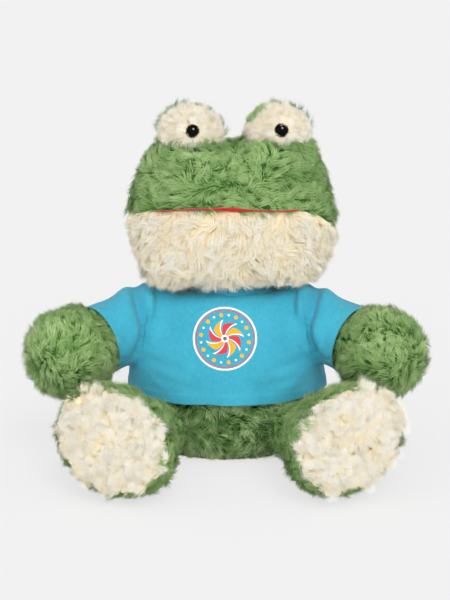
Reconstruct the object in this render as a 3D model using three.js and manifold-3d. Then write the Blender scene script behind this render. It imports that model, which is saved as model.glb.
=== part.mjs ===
// A sitting plush frog in a jersey T-shirt: plush skins cut as panels, the fibre that fills them, safety eyes
// with their locking washers, and a shirt sewn from two panels, two sleeves and a rib collar.
// Millimetres, Z up, the face toward -Y. Left and right are the frog's own, so its left side is +X.

import * as THREE from 'three';
import { mergeVertices } from 'three/addons/utils/BufferGeometryUtils.js';
import Module from 'manifold-3d';

const wasm = await Module();
wasm.setup();

// Fabrics and fits
const plush = 3; // backing and pressed pile
const jersey = 1;
const felt = 1.2;
const gap = 0.3; // between pieces that touch
const swivel = 0.9; // around a round end that turns in its seat
const overrun = 20; // how far a cut runs past what it cuts

// Torso
const torsoWidth = 121;
const torsoDepth = 92;
const torsoHeight = 101;
const torsoWidthShares = [0.69, 0.86, 0.97, 1, 0.98, 0.9, 0.79, 0.69, 0.57, 0.42, 0.3, 0];
const torsoHeightShares = [0, 0.035, 0.14, 0.27, 0.4, 0.55, 0.7, 0.82, 0.915, 0.975, 1, 1];

// Neck
const neckRadius = 18;
const neckRise = 2; // of its centre over the torso
const neckAside = 4; // the way it happens to sit
const neckSetShare = 0.02; // of the torso's depth, toward the face

// Head
const headWidth = 132;
const headDepth = 95;
const headHeight = 95;
const headRise = 4; // of its underside over the torso
const headWidthShares = [0, 0.5, 0.765, 0.88, 0.957, 1, 0.995, 0.93, 0.82, 0.64, 0.36, 0];
const headHeightShares = [0, 0.008, 0.05, 0.13, 0.25, 0.42, 0.6, 0.75, 0.88, 0.955, 0.992, 1];
const headTurn = 4 * THREE.MathUtils.DEG2RAD; // the way it happens to sit
const sideSeamShare = 0.14; // of half the head's depth, behind the middle
const mouthHeightShare = 0.58;
const mouthWidth = 100;
const lipOpening = 5; // at the surface, narrowing to the felt
const mouthReach = 15; // of the felt into the head

// Eye domes
const domeRadius = 20.5;
const domeSpread = 52.5; // between the domes' centres
const domeForwardShare = 0.37; // of half the head's depth
const domeRise = 2; // of its centre over the head's top
const domeSeamShare = 0.18; // of the dome's radius, behind its centre

// Safety eyes
const beadRadius = 4.5;
const beadBulge = 3.8;
const shankRadius = 1.9;
const shankLength = 11;
const shankRibs = 5;
const ribDepth = 0.35;
const washerRadius = 6.5;
const washerThickness = 1.4;
const washerFit = 0.15;
const gazeUp = 11 * THREE.MathUtils.DEG2RAD;

// Arms
const armRadius = 18;
const armLength = 49; // from the shoulder's centre to the paw's
const pawRadius = 28.3;
const armWaistShares = [[0.3, 0], [0.57, 0.02], [0.68, 0.42], [0.83, 0.86]]; // along it, and from arm to paw
const armOpening = 9; // of the skin, where the fibre goes in
const shoulderHeightShare = 0.81;
const shoulderRound = 13 * THREE.MathUtils.DEG2RAD; // around the torso, from the side to the front
const shoulderOutShare = 0.76; // of the sleeve's radius, outside the torso
const armForward = 37 * THREE.MathUtils.DEG2RAD;
const armDown = 12.5 * THREE.MathUtils.DEG2RAD;

// Legs
const legRadius = 22;
const legLength = 57; // from the hip's centre to the middle of the foot
const footHeight = 66;
const footWidth = 81;
const footRoll = 25 * THREE.MathUtils.DEG2RAD; // of the toes, up and outward
const soleReach = 12; // from the middle of the foot
const soleShare = 0.93; // of the foot's section
const footRimShares = [0.985, 0.6]; // of the foot's section, and of the way to the sole
const soleBulge = 5;
const legWaistShares = [[0.3, 0], [0.52, 0.12], [0.72, 0.5], [0.88, 0.9]]; // along it, and from leg to foot
const hipClearance = 0.6; // over the floor
const hipRound = 52 * THREE.MathUtils.DEG2RAD; // around the torso, from the side to the front
const hipOutShare = 0.5; // of the leg's radius, outside the torso
const legOutward = { // as it happens to sit
  left: 26 * THREE.MathUtils.DEG2RAD,
  right: 21 * THREE.MathUtils.DEG2RAD,
};

// Shirt
const hemHeight = 40;
const collarRadius = 19.8;
const collarWidth = 6;
const collarThickness = 1.5;
const armholeAngle = 118 * THREE.MathUtils.DEG2RAD; // around the shoulder, from the arm's axis
const sleeveLength = 28; // from the shoulder's centre to the cuff
const cuffFlare = 1;

// Steps of the curves
const around = 18;
const aroundInside = 12; // of what lies under a skin
const aroundSmall = 12;
const outlineSteps = 10;
const arcSteps = 4;

const plushGreen = { color: 0x82a568, roughness: 0.95 };
const plushDeepGreen = { color: 0x3f6b3c, roughness: 0.95 };
const plushCream = { color: 0xf2ead4, roughness: 0.95 };
const fibre = { color: 0xf4f4f2, roughness: 1 };
const blueJersey = { color: 0x45b2d3, roughness: 0.85 };
const redFelt = { color: 0xc01818, roughness: 0.9 };
const blackPlastic = { color: 0x0a0a0b, roughness: 0.08 };
const whitePlastic = { color: 0xe8e8e4, roughness: 0.4 };

// A closed geometry as a solid, facing out
function solidOf(geometry) {
  const bare = geometry.clone();
  bare.deleteAttribute('normal');
  bare.deleteAttribute('uv');
  const merged = mergeVertices(bare);
  const corners = merged.index.array;
  const kept = [];
  for (let i = 0; i < corners.length; i += 3) {
    const [a, b, c] = corners.slice(i, i + 3);
    if (a !== b && b !== c && c !== a) kept.push(a, b, c);
  }
  const mesh = new wasm.Mesh({
    numProp: 3,
    vertProperties: new Float32Array(merged.attributes.position.array),
    triVerts: new Uint32Array(kept),
  });
  return new wasm.Manifold(mesh);
}

// A named mesh of a solid, in the frame of the group that it is added to
function piece(name, solid, finish) {
  const { vertProperties, triVerts } = solid.getMesh();
  const geometry = new THREE.BufferGeometry();
  geometry.setAttribute('position', new THREE.BufferAttribute(vertProperties, 3));
  geometry.setIndex(new THREE.BufferAttribute(triVerts, 1));
  geometry.computeVertexNormals();
  const mesh = new THREE.Mesh(geometry, new THREE.MeshStandardMaterial({ metalness: 0, ...finish }));
  mesh.name = name;
  return mesh;
}

// A profile of [radius, height] turned about Z and squeezed to a share of its depth
function turnedGeometry(profile, { squash = 1, steps = around } = {}) {
  const points = profile.map(([radius, height]) => new THREE.Vector2(radius, height));
  return new THREE.LatheGeometry(points, steps).rotateX(Math.PI / 2).scale(1, squash, 1);
}

function turned(profile, { place = new THREE.Vector3(), ...shape } = {}) {
  return solidOf(turnedGeometry(profile, shape).translate(place.x, place.y, place.z));
}

function smoothed(points, steps) {
  const curve = new THREE.SplineCurve(points.map(([x, y]) => new THREE.Vector2(x, y)));
  return curve.getPoints(steps).map(({ x, y }) => [Math.max(x, 0), y]);
}

// An arc of [radius, height] about a centre on the axis. Angles are from the axis upward.
function arc(radius, centre, from, to, steps = arcSteps) {
  const points = [];
  for (let i = 0; i <= steps; i += 1) {
    const angle = THREE.MathUtils.lerp(from, to, i / steps);
    const onAxis = angle === 0 || angle === Math.PI;
    points.push([onAxis ? 0 : radius * Math.sin(angle), centre + radius * Math.cos(angle)]);
  }
  return points;
}

// The same profile moved inward by an amount, corner by corner
function inset(profile, amount) {
  const normalOf = ([x0, y0], [x1, y1]) => new THREE.Vector2(y1 - y0, x0 - x1).normalize();
  return profile.map(([x, y], i) => {
    const onAxis = x === 0 ? new THREE.Vector2(0, i === 0 ? -1 : 1) : null;
    const before = i > 0 ? normalOf(profile[i - 1], [x, y]) : onAxis;
    const after = i < profile.length - 1 ? normalOf([x, y], profile[i + 1]) : onAxis;
    const first = before ?? after;
    const second = after ?? before;
    const share = amount / (1 + first.dot(second));
    return [x === 0 ? 0 : x - (first.x + second.x) * share, y - (first.y + second.y) * share];
  });
}

function ball(radius, centre, steps = around) {
  return turned(arc(radius, 0, Math.PI, 0, steps / 2), { place: centre, steps });
}

function without(solid, cuts) {
  return cuts.reduce((left, cut) => left.subtract(cut), solid);
}

// Boxes that hold all that lies before a plane across Y, behind it, or between two heights
function inFrontOf(y, reach) {
  return solidOf(new THREE.BoxGeometry(2 * reach, 2 * reach, 2 * reach).translate(0, y - reach, 0));
}

function behind(y, reach) {
  return solidOf(new THREE.BoxGeometry(2 * reach, 2 * reach, 2 * reach).translate(0, y + reach, 0));
}

function slab(low, high, reach) {
  return solidOf(new THREE.BoxGeometry(2 * reach, 2 * reach, high - low).translate(0, 0, (low + high) / 2));
}

// A frame at a point, its Z along a direction and its Y as upright as that allows
function frameAt(point, direction) {
  const across = new THREE.Vector3(0, 0, 1).cross(direction).normalize();
  const above = direction.clone().cross(across);
  const group = new THREE.Group();
  group.position.copy(point);
  group.quaternion.setFromRotationMatrix(new THREE.Matrix4().makeBasis(across, above, direction));
  return group;
}

// Forms of the torso and the head, at any depth under the surface
const torsoOutline = [
  [0, 0],
  ...smoothed(
    torsoWidthShares.slice(0, -1).map((share, i) => [share * torsoWidth / 2, torsoHeightShares[i] * torsoHeight]),
    outlineSteps,
  ),
  [0, torsoHeight],
];
const torsoSquash = torsoDepth / torsoWidth;
const stepsAt = (depth) => (depth > 0 ? aroundInside : around);
const torsoForm = (depth) => turned(inset(torsoOutline, depth), {
  squash: torsoSquash,
  steps: stepsAt(depth),
});

const headBase = torsoHeight + headRise;
const headOutline = smoothed(
  headWidthShares.map((share, i) => [share * headWidth / 2, headHeightShares[i] * headHeight]),
  outlineSteps,
);
const headSquash = headDepth / headWidth;

function halfWidthAt(outline, height) {
  const above = outline.findIndex(([, y], i) => i > 1 && y >= height);
  const [x0, y0] = outline[above - 1];
  const [x1, y1] = outline[above];
  return THREE.MathUtils.mapLinear(height, y0, y1, x0, x1);
}

// A point off the torso's side at a height, so far round from the side to the front, and so far out
function offTorso(height, round, out) {
  const halfWidth = halfWidthAt(torsoOutline, height);
  const halfDepth = halfWidth * torsoSquash;
  const outward = new THREE.Vector3(Math.cos(round) / halfWidth, -Math.sin(round) / halfDepth, 0).normalize();
  const surface = new THREE.Vector3(halfWidth * Math.cos(round), -halfDepth * Math.sin(round), height);
  return surface.addScaledVector(outward, out);
}

const mirrored = (vector, side) => new THREE.Vector3(vector.x * side, vector.y, vector.z);

// Places of the limbs
const sleeveInside = armRadius + gap;
const sleeveOutside = sleeveInside + jersey;
const shoulder = offTorso(shoulderHeightShare * torsoHeight, shoulderRound, shoulderOutShare * sleeveOutside);
const armDirection = new THREE.Vector3(
  Math.cos(armForward) * Math.cos(armDown),
  -Math.sin(armForward) * Math.cos(armDown),
  -Math.sin(armDown),
);
const hip = offTorso(legRadius + hipClearance, hipRound, hipOutShare * legRadius);
const footHalfHeight = Math.hypot(footHeight * Math.cos(footRoll), footWidth * Math.sin(footRoll)) / 2;
const legUp = Math.asin((footHalfHeight - hip.z) / legLength);
const legDirection = (outward) => new THREE.Vector3(
  Math.sin(outward) * Math.cos(legUp),
  -Math.cos(outward) * Math.cos(legUp),
  Math.sin(legUp),
);
const neckCentre = new THREE.Vector3(neckAside, -neckSetShare * torsoDepth, torsoHeight + neckRise);

// Seats that the limbs and the neck roll in, at any depth under their surface
const limbSeats = (depth) => [1, -1].flatMap((side) => [
  ball(sleeveOutside + swivel + depth, mirrored(shoulder, side), stepsAt(depth)),
  ball(legRadius + swivel + depth, mirrored(hip, side), stepsAt(depth)),
]);
const seats = (depth) => [...limbSeats(depth), ball(neckRadius + swivel + depth, neckCentre, stepsAt(depth))];

function torsoPieces() {
  const reach = torsoWidth + overrun;
  const fibreDepth = plush + gap;
  const skin = without(torsoForm(0), seats(0)).subtract(without(torsoForm(plush), seats(plush)));
  const filling = without(torsoForm(fibreDepth), seats(fibreDepth));
  const seatRadius = torsoWidthShares[0] * torsoWidth / 2;
  const shape = { squash: torsoSquash };
  const seatPanel = turned([[0, 0], [seatRadius, 0], [seatRadius, plush], [0, plush]], shape);
  const seatHole = turned(
    [[0, -overrun], [seatRadius + gap, -overrun], [seatRadius + gap, fibreDepth], [0, fibreDepth]],
    shape,
  );
  const upright = skin.subtract(seatHole);
  return [
    piece('torso_front', upright.intersect(inFrontOf(-gap / 2, reach)), plushDeepGreen),
    piece('torso_back', upright.intersect(behind(gap / 2, reach)), plushGreen),
    piece('seat_panel', seatPanel, plushGreen),
    piece('torso_stuffing', filling, fibre),
  ];
}

function shirtPieces() {
  const reach = torsoWidth + overrun;
  const collarOutside = collarRadius + collarWidth;
  const place = new THREE.Vector3(neckCentre.x, neckCentre.y, 0);
  const neckHole = turned(
    [[0, hemHeight], [collarOutside + gap, hemHeight], [collarOutside + gap, reach], [0, reach]],
    { place },
  );
  const above = slab(hemHeight, reach, reach);
  const cloth = without(torsoForm(-gap - jersey).subtract(torsoForm(-gap)), limbSeats(0));
  const panels = cloth.subtract(neckHole).intersect(above);
  const band = turned([
    [collarRadius, hemHeight], [collarOutside, hemHeight], [collarOutside, reach], [collarRadius, reach],
    [collarRadius, hemHeight],
  ], { place });
  const rib = torsoForm(-gap - collarThickness).subtract(torsoForm(-gap)).intersect(above).intersect(band);
  return [
    piece('shirt_front', panels.intersect(inFrontOf(-gap / 2, reach)), blueJersey),
    piece('shirt_back', panels.intersect(behind(gap / 2, reach)), blueJersey),
    piece('collar', rib, blueJersey),
  ];
}

const neck = () => piece('neck', ball(neckRadius, neckCentre), plushGreen);

// The head, in a frame at the neck's centre
const headFloor = headBase - neckCentre.z;
const headPlace = new THREE.Vector3(0, -neckCentre.y, headFloor);
const headForm = (depth, from = new THREE.Vector3()) => turned(inset(headOutline, depth), {
  squash: headSquash,
  steps: stepsAt(depth),
  place: headPlace.clone().sub(from),
});
const mouthHeight = headFloor + mouthHeightShare * headHeight;
const mouthHalfWidth = halfWidthAt(headOutline, mouthHeightShare * headHeight);
const domeCentre = (side) => new THREE.Vector3(
  side * domeSpread / 2,
  -neckCentre.y - domeForwardShare * headDepth / 2,
  headFloor + headHeight + domeRise,
);

// The felt's room between the lips, wider at the surface by a flare above and below
function mouthSlit(flare, room) {
  const half = felt / 2 + room;
  const inner = mouthHalfWidth - mouthReach - room;
  const outer = mouthHalfWidth - plush;
  const outside = mouthHalfWidth + flare;
  const ring = turned([
    [inner, -half], [outer, -half], [outside, -half - flare], [outside, half + flare], [outer, half], [inner, half],
    [inner, -half],
  ], { squash: headSquash, place: new THREE.Vector3(0, -neckCentre.y, mouthHeight) });
  const width = mouthWidth + 2 * room;
  const length = headDepth + overrun;
  const front = new THREE.BoxGeometry(width, length, headHeight);
  return ring.intersect(solidOf(front.translate(0, -neckCentre.y - length / 2, mouthHeight)));
}

function headPieces() {
  const reach = headWidth + headHeight + overrun;
  const seam = -neckCentre.y + sideSeamShare * headDepth / 2;
  const front = inFrontOf(seam - gap / 2, reach);
  const origin = new THREE.Vector3(0, 0, 0);
  const socket = (depth) => ball(neckRadius + swivel + depth, origin);
  const slitRoom = mouthSlit(lipOpening / 2, gap);
  const skin = headForm(0).subtract(headForm(plush)).subtract(socket(0));
  const lips = skin.subtract(slitRoom).intersect(front);
  const fibreDepth = plush + gap;
  const filling = without(headForm(fibreDepth), [slitRoom, socket(gap)]);
  const lining = mouthSlit(0, 0).intersect(headForm(gap));
  return [
    piece('head_front', lips.intersect(slab(mouthHeight + gap / 2, reach, reach)), plushGreen),
    piece('chin', lips.intersect(slab(-reach, mouthHeight - gap / 2, reach)), plushCream),
    piece('head_back', skin.intersect(behind(seam + gap / 2, reach)), plushGreen),
    piece('mouth_lining', lining, redFelt),
    piece('head_stuffing', filling, fibre),
  ];
}

// One eye dome with its safety eye, in the head's frame
function eyePieces(side, suffix) {
  const centre = domeCentre(side);
  const reach = 2 * domeRadius + overrun;
  const gaze = new THREE.Vector3(0, -Math.cos(gazeUp), Math.sin(gazeUp));
  const eye = frameAt(centre, gaze);
  const domeForm = (depth) => ball(domeRadius - depth, new THREE.Vector3(), aroundSmall);
  const hole = (radius, from) => solidOf(turnedGeometry(
    [[0, from], [radius, from], [radius, domeRadius + overrun], [0, domeRadius + overrun]],
    { steps: aroundSmall },
  ).rotateX(Math.PI / 2 - gazeUp));
  const shankHole = hole(shankRadius + washerFit, 0);
  const fibreDepth = plush + gap;
  const inside = (domeRadius - fibreDepth) * Math.cos(Math.PI / aroundSmall) ** 2;
  const washerFace = Math.sqrt(inside ** 2 - washerRadius ** 2);
  const pocket = hole(washerRadius + gap, domeRadius - shankLength - gap);
  const seam = domeSeamShare * domeRadius;
  const skin = domeForm(0).subtract(domeForm(plush)).subtract(headForm(-gap, centre));
  const filling = domeForm(fibreDepth).subtract(headForm(-2 * gap, centre)).subtract(pocket);
  const parts = new THREE.Group();
  parts.position.copy(centre);
  parts.add(
    piece(`eye_front_${suffix}`, skin.intersect(inFrontOf(seam - gap / 2, reach)).subtract(shankHole), plushCream),
    piece(`eye_hood_${suffix}`, skin.intersect(behind(seam + gap / 2, reach)), plushGreen),
    piece(`eye_stuffing_${suffix}`, filling, fibre),
  );
  eye.add(safetyEye(suffix), washer(suffix, washerFace));
  return [parts, eye];
}

// A quarter of an ellipse from a rim up to the axis, as [radius, height]
function bulge(radius, rise, base) {
  return arc(1, 0, Math.PI / 2, 0).map(([x, y]) => [radius * x, base + rise * y]);
}

// A bead moulded in one with its shank, whose ribs the washer snaps over
function safetyEye(suffix) {
  const base = domeRadius + gap;
  const ribPitch = shankLength / (2 * shankRibs + 1);
  const ribs = [];
  for (let i = 1; i <= shankRibs; i += 1) {
    const low = base - shankLength + ribPitch * (2 * i - 1);
    ribs.push([shankRadius - ribDepth, low], [shankRadius, low + ribPitch], [shankRadius - ribDepth, low + ribPitch]);
  }
  const profile = [
    [0, base - shankLength], [shankRadius - ribDepth, base - shankLength], ...ribs,
    [shankRadius - ribDepth, base], ...bulge(beadRadius, beadBulge, base),
  ];
  return piece(`eye_bead_${suffix}`, turned(profile, { steps: aroundSmall }), blackPlastic);
}

// A locking washer with a hub, snapped up to the skin's inside
function washer(suffix, face) {
  const bore = shankRadius + washerFit;
  const hub = bore + washerThickness;
  const back = face - washerThickness;
  const profile = [
    [bore, back - washerThickness], [hub, back - washerThickness], [hub, back], [washerRadius, back],
    [washerRadius, face - washerThickness / 2], [hub, face], [bore, face], [bore, back - washerThickness],
  ];
  return piece(`eye_washer_${suffix}`, turned(profile, { steps: aroundSmall }), whitePlastic);
}

// A limb's outline: a round root about the joint, a waist of shares, and the middle of its end
function limbOutline(rootRadius, waistShares, length, endRadius, end) {
  const waist = waistShares.map(([along, widen]) => [
    THREE.MathUtils.lerp(rootRadius, endRadius, widen), along * length,
  ]);
  const root = arc(rootRadius, 0, Math.PI, Math.PI / 2);
  const side = smoothed([root[arcSteps], ...waist, end[0]], outlineSteps - arcSteps);
  return [...root.slice(0, -1), ...side, ...end.slice(1)];
}

function armPieces(side, suffix) {
  const paw = arc(pawRadius, armLength, Math.PI / 2, 0);
  const outline = limbOutline(armRadius, armWaistShares, armLength, pawRadius, paw);
  const form = (depth) => turned(inset(outline, depth), { steps: stepsAt(depth) });
  const mouth = turned([
    [0, -armRadius - overrun], [armOpening, -armRadius - overrun], [armOpening, 0], [0, 0],
  ]);
  const arm = frameAt(mirrored(shoulder, side), mirrored(armDirection, side));
  arm.add(
    piece(`arm_skin_${suffix}`, form(0).subtract(form(plush).add(mouth)), plushGreen),
    piece(`arm_stuffing_${suffix}`, form(plush + gap), fibre),
    sleeve(suffix, outline),
  );
  return arm;
}

// The sleeve follows the arm from the armhole round the shoulder to the cuff
function sleeve(suffix, armOutline) {
  const shoulderArc = arc(sleeveInside, 0, armholeAngle, Math.PI / 2, arcSteps);
  const cuff = halfWidthAt(armOutline, sleeveLength) + gap + cuffFlare;
  const inside = [...shoulderArc, ...smoothed([
    [sleeveInside, 0], [(sleeveInside + cuff) / 2, sleeveLength / 2], [cuff, sleeveLength],
  ], arcSteps).slice(1)];
  const outside = inset(inside, -jersey);
  outside[outside.length - 1] = [cuff + jersey, sleeveLength];
  const profile = [...outside, ...inside.reverse(), outside[0]];
  return piece(`sleeve_${suffix}`, turned(profile), blueJersey);
}

// A turned form whose section widens across the toes as it nears the foot
function widened(profile, side, steps = around) {
  const geometry = turnedGeometry(profile, { steps });
  const toes = new THREE.Vector3(Math.cos(footRoll), Math.sin(footRoll) * side, 0);
  const corner = new THREE.Vector3();
  const { position } = geometry.attributes;
  for (let i = 0; i < position.count; i += 1) {
    corner.fromBufferAttribute(position, i);
    const grown = THREE.MathUtils.smoothstep(corner.z, legRadius, legLength) * (footWidth / footHeight - 1);
    corner.addScaledVector(toes, corner.dot(toes) * grown);
    position.setXYZ(i, corner.x, corner.y, corner.z);
  }
  return solidOf(geometry);
}

function legPieces(side, suffix) {
  const soleRadius = soleShare * footHeight / 2;
  const rim = legLength + soleReach;
  const end = smoothed(
    [[1, 0], footRimShares, [soleShare, 1]].map(([across, along]) => [
      across * footHeight / 2, legLength + along * soleReach,
    ]),
    arcSteps,
  );
  const outline = [...limbOutline(legRadius, legWaistShares, legLength, footHeight / 2, end), [0, rim]];
  const form = (depth) => widened(inset(outline, depth), side, stepsAt(depth));
  const plug = (radius, top) => widened([[0, legLength], [radius, legLength], [radius, top], [0, top]], side);
  const opening = plug(soleRadius - plush, rim + overrun);
  const filling = form(plush + gap).add(plug(soleRadius - plush - gap, rim));
  const leg = frameAt(mirrored(hip, side), mirrored(legDirection(legOutward[suffix]), side));
  leg.add(
    piece(`leg_skin_${suffix}`, form(0).subtract(form(plush)).subtract(opening), plushGreen),
    piece(`leg_stuffing_${suffix}`, filling, fibre),
    piece(`sole_${suffix}`, widened([[0, rim + gap], ...bulge(soleRadius, soleBulge, rim + gap)], side), plushCream),
  );
  return leg;
}

const frog = new THREE.Group();
const head = new THREE.Group();
head.position.copy(neckCentre);
head.rotation.z = headTurn;
head.add(...headPieces());
frog.add(...torsoPieces(), ...shirtPieces(), neck(), head);
for (const [suffix, side] of [['left', 1], ['right', -1]]) {
  head.add(...eyePieces(side, suffix));
  frog.add(armPieces(side, suffix), legPieces(side, suffix));
}

export default frog;
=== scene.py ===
import math

import bmesh
import bpy
import numpy as np
from mathutils import Matrix, Vector
from mathutils.kdtree import KDTree


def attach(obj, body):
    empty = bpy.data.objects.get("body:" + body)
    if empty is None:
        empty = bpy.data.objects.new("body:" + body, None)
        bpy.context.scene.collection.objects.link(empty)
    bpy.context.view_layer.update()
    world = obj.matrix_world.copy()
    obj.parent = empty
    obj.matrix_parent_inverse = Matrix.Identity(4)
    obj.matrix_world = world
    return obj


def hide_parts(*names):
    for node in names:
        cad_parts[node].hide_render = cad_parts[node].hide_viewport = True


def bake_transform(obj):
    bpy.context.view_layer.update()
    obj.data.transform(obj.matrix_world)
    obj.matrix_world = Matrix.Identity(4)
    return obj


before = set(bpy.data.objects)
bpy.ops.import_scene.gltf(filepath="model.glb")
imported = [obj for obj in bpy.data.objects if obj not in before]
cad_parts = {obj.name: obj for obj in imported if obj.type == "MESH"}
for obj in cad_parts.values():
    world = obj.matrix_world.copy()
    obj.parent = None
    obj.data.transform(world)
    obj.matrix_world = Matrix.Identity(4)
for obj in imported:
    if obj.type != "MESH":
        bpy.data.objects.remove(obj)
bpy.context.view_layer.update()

# Shapes are worked out in millimetres in the row frame, and scaled when a mesh is made.
MM = 0.001
thin_out = 1.0


# ---------------------------------------------------------------- camera and lamps
def linear(r, g, b):
    def one(c):
        c /= 255
        return c / 12.92 if c <= 0.04045 else ((c + 0.055) / 1.055) ** 2.4

    return (one(r), one(g), one(b), 1.0)


def add_object(name, data):
    obj = bpy.data.objects.new(name, data)
    bpy.context.scene.collection.objects.link(obj)
    return obj


BACKGROUND = linear(241, 241, 241)
FOCAL_PIXELS, PICTURE_HEIGHT, SENSOR = 2016, 600, 36
CAMERA_RISE, CAMERA_FAR, CAMERA_AIM = math.radians(14), 1.25, Vector((-0.0006, 0, 0.094))

camera = add_object("camera", bpy.data.cameras.new("camera"))
bpy.context.scene.camera = camera
camera.data.sensor_width = SENSOR
camera.data.lens = FOCAL_PIXELS / PICTURE_HEIGHT * SENSOR
camera.data.clip_end = 50
back = Vector((0, -math.cos(CAMERA_RISE), math.sin(CAMERA_RISE)))
camera.location = CAMERA_AIM + back * CAMERA_FAR
camera.rotation_mode = "QUATERNION"
camera.rotation_quaternion = (-back).to_track_quat("-Z", "Y")

bpy.context.scene.view_settings.view_transform = "Standard"


def lamp(name, azimuth, elevation, strength, spread):
    data = bpy.data.lights.new(name, "SUN")
    data.energy = strength
    data.angle = math.radians(spread)
    obj = add_object(name, data)
    a, e = math.radians(azimuth), math.radians(elevation)
    way = Vector((math.sin(a) * math.cos(e), -math.cos(a) * math.cos(e), math.sin(e)))
    obj.rotation_mode = "QUATERNION"
    obj.rotation_quaternion = way.to_track_quat("Z", "Y")
    obj.visible_glossy = name == "key"


lamp("key", 16, 42, 1.17, 24)
lamp("softbox", -30, 42, 0.76, 100)
lamp("front", 3, 6, 1.58, 70)


# ---------------------------------------------------------------- the world and the materials
class Nodes:
    """A node tree, with short ways to add to it"""

    def __init__(self, tree):
        self.tree = tree
        tree.nodes.clear()

    def link(self, a, b):
        self.tree.links.new(a, b)

    def put(self, value, socket):
        """Links another node's socket, or sets a plain value"""
        if isinstance(value, bpy.types.NodeSocket):
            self.link(value, socket)
        elif value is not None:
            socket.default_value = value

    def add(self, kind, **values):
        node = self.tree.nodes.new(kind)
        for key, value in values.items():
            if hasattr(node, key):
                setattr(node, key, value)
            else:
                self.put(value, node.inputs[key.replace("_", " ")])
        return node

    def math(self, operation, a, b=None, c=None):
        node = self.add("ShaderNodeMath", operation=operation)
        for socket, value in zip(node.inputs, (a, b, c)):
            self.put(value, socket)
        return node.outputs[0]

    def ramp(self, factor, stops):
        node = self.add("ShaderNodeValToRGB", Fac=factor)
        elements = node.color_ramp.elements
        while len(elements) < len(stops):
            elements.new(0.5)
        for element, (place, colour) in zip(elements, stops):
            element.position = place
            element.color = colour
        return node.outputs["Color"]

    def mix(self, factor, a, b, blend="MIX"):
        node = self.add("ShaderNodeMix", data_type="RGBA", blend_type=blend)
        for i, value in ((0, factor), (6, a), (7, b)):
            self.put(value, node.inputs[i])
        return node.outputs[2]

    def mix_shaders(self, factor, a, b):
        node = self.add("ShaderNodeMixShader")
        for socket, value in zip(node.inputs, (factor, a.outputs[0], b.outputs[0])):
            self.link(value, socket)
        return node.outputs[0]

    def split(self, vector):
        return self.add("ShaderNodeSeparateXYZ", Vector=vector).outputs


class Shader(Nodes):
    """A material with one principled surface"""

    def __init__(self, name):
        self.material = bpy.data.materials.new(name)
        self.material.use_nodes = True
        super().__init__(self.material.node_tree)
        self.surface = self.add("ShaderNodeBsdfPrincipled")
        self.out = self.add("ShaderNodeOutputMaterial", Surface=self.surface.outputs[0])

    def set(self, **values):
        for key, value in values.items():
            self.put(value, self.surface.inputs[key.replace("_", " ")])

    def place(self):
        return self.add("ShaderNodeTexCoord").outputs["Object"]

    def grain(self, **values):
        return self.add("ShaderNodeTexNoise", Vector=self.place(), **values).outputs["Fac"]

    def ranged(self, value, *ends):
        names = ("From_Min", "From_Max", "To_Min", "To_Max")
        return self.add("ShaderNodeMapRange", Value=value, **dict(zip(names, ends))).outputs[0]

    def bump(self, height, strength, distance):
        return self.add("ShaderNodeBump", Height=height, Strength=strength, Distance=distance).outputs[0]


world = bpy.data.worlds.new("studio")
bpy.context.scene.world = world
world.use_nodes = True
air = Nodes(world.node_tree)
ray = air.add("ShaderNodeLightPath").outputs
fill = air.add("ShaderNodeBackground", Color=(1, 1, 1, 1),
               Strength=air.math("MULTIPLY_ADD", ray["Is Glossy Ray"], -0.52, 0.58))
seen = air.add("ShaderNodeBackground", Color=BACKGROUND)
through = air.math("MAXIMUM", ray["Is Camera Ray"], ray["Is Transmission Ray"])
air.add("ShaderNodeOutputWorld", Surface=air.mix_shaders(through, fill, seen))


def pile(name, dark, light, root, sheen=0.06):
    """Plush pile. The map's u is a strand's tint and its v runs from the backing to the tip. Toward the backing the
    colour runs to the root colour: painted shade between the strands.
    """
    s = Shader(name)
    u, v = s.split(s.add("ShaderNodeUVMap", uv_map="OFBake").outputs[0])[:2]
    # both ramps start from the root colour at v = 0: painted shade at the strands' feet and on the backing
    deep = s.ramp(v, [(0.0, root), (0.3, tuple(0.5 * (a + b) for a, b in zip(root, dark))), (0.75, dark)])
    pale = s.ramp(v, [(0.0, root), (0.35, dark), (0.9, light)])
    s.set(Base_Color=s.mix(u, deep, pale), Roughness=s.ranged(v, 0.0, 1.0, 0.95, 0.7),
          Sheen_Weight=sheen, Sheen_Roughness=0.5, Specular_IOR_Level=0.2)
    return s.material


def grained(name, grain, stops, rough=None, bump=None, **values):
    """A material whose colour, and if asked its roughness and bump, follow one fine noise"""
    s = Shader(name)
    fleck = s.grain(**grain)
    s.set(Base_Color=s.ramp(fleck, [(at, linear(*colour)) for at, colour in stops]), **values)
    if rough:
        s.set(Roughness=s.ranged(fleck, *rough))
    if bump:
        s.set(Normal=s.bump(fleck, *bump))
    return s.material


# each pile's third colour is its root colour, painted shade for the gaps between the strands; the cream's root is close
# to its own colour
GREEN = pile("green plush", linear(123, 165, 89), linear(206, 229, 166), linear(58, 102, 43))
# the belly's plush is the same green with painted shade: darker mid and root colours than GREEN, for the shade under
# the shirt and legs; its tips are lighter
SHADED_GREEN = pile("green plush with painted shade", linear(86, 134, 62), linear(235, 255, 190), linear(12, 38, 14))
CREAM = pile("cream plush", linear(251, 236, 199), linear(255, 255, 250), linear(249, 232, 195), 0.03)
BEAD = grained("glossy black plastic", {"Scale": 900.0, "Detail": 4.0}, [(0.35, (7, 7, 8)), (0.75, (15, 15, 16))],
               rough=(0.4, 0.7, 0.05, 0.14), Specular_IOR_Level=0.6)
FELT = grained("red felt", {"Scale": 1400.0, "Detail": 5.0, "Roughness": 0.7},
               [(0.3, (150, 12, 14)), (0.7, (206, 30, 28))], bump=(0.5, 0.0003),
               Roughness=0.95, Sheen_Weight=0.3, Specular_IOR_Level=0.15)
NYLON = grained("white nylon", {"Scale": 520.0, "Detail": 4.0, "Distortion": 1.2},
                [(0.3, (226, 226, 220)), (0.7, (240, 240, 235))], rough=(0.3, 0.7, 0.35, 0.55), bump=(0.15, 0.0002))
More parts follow.
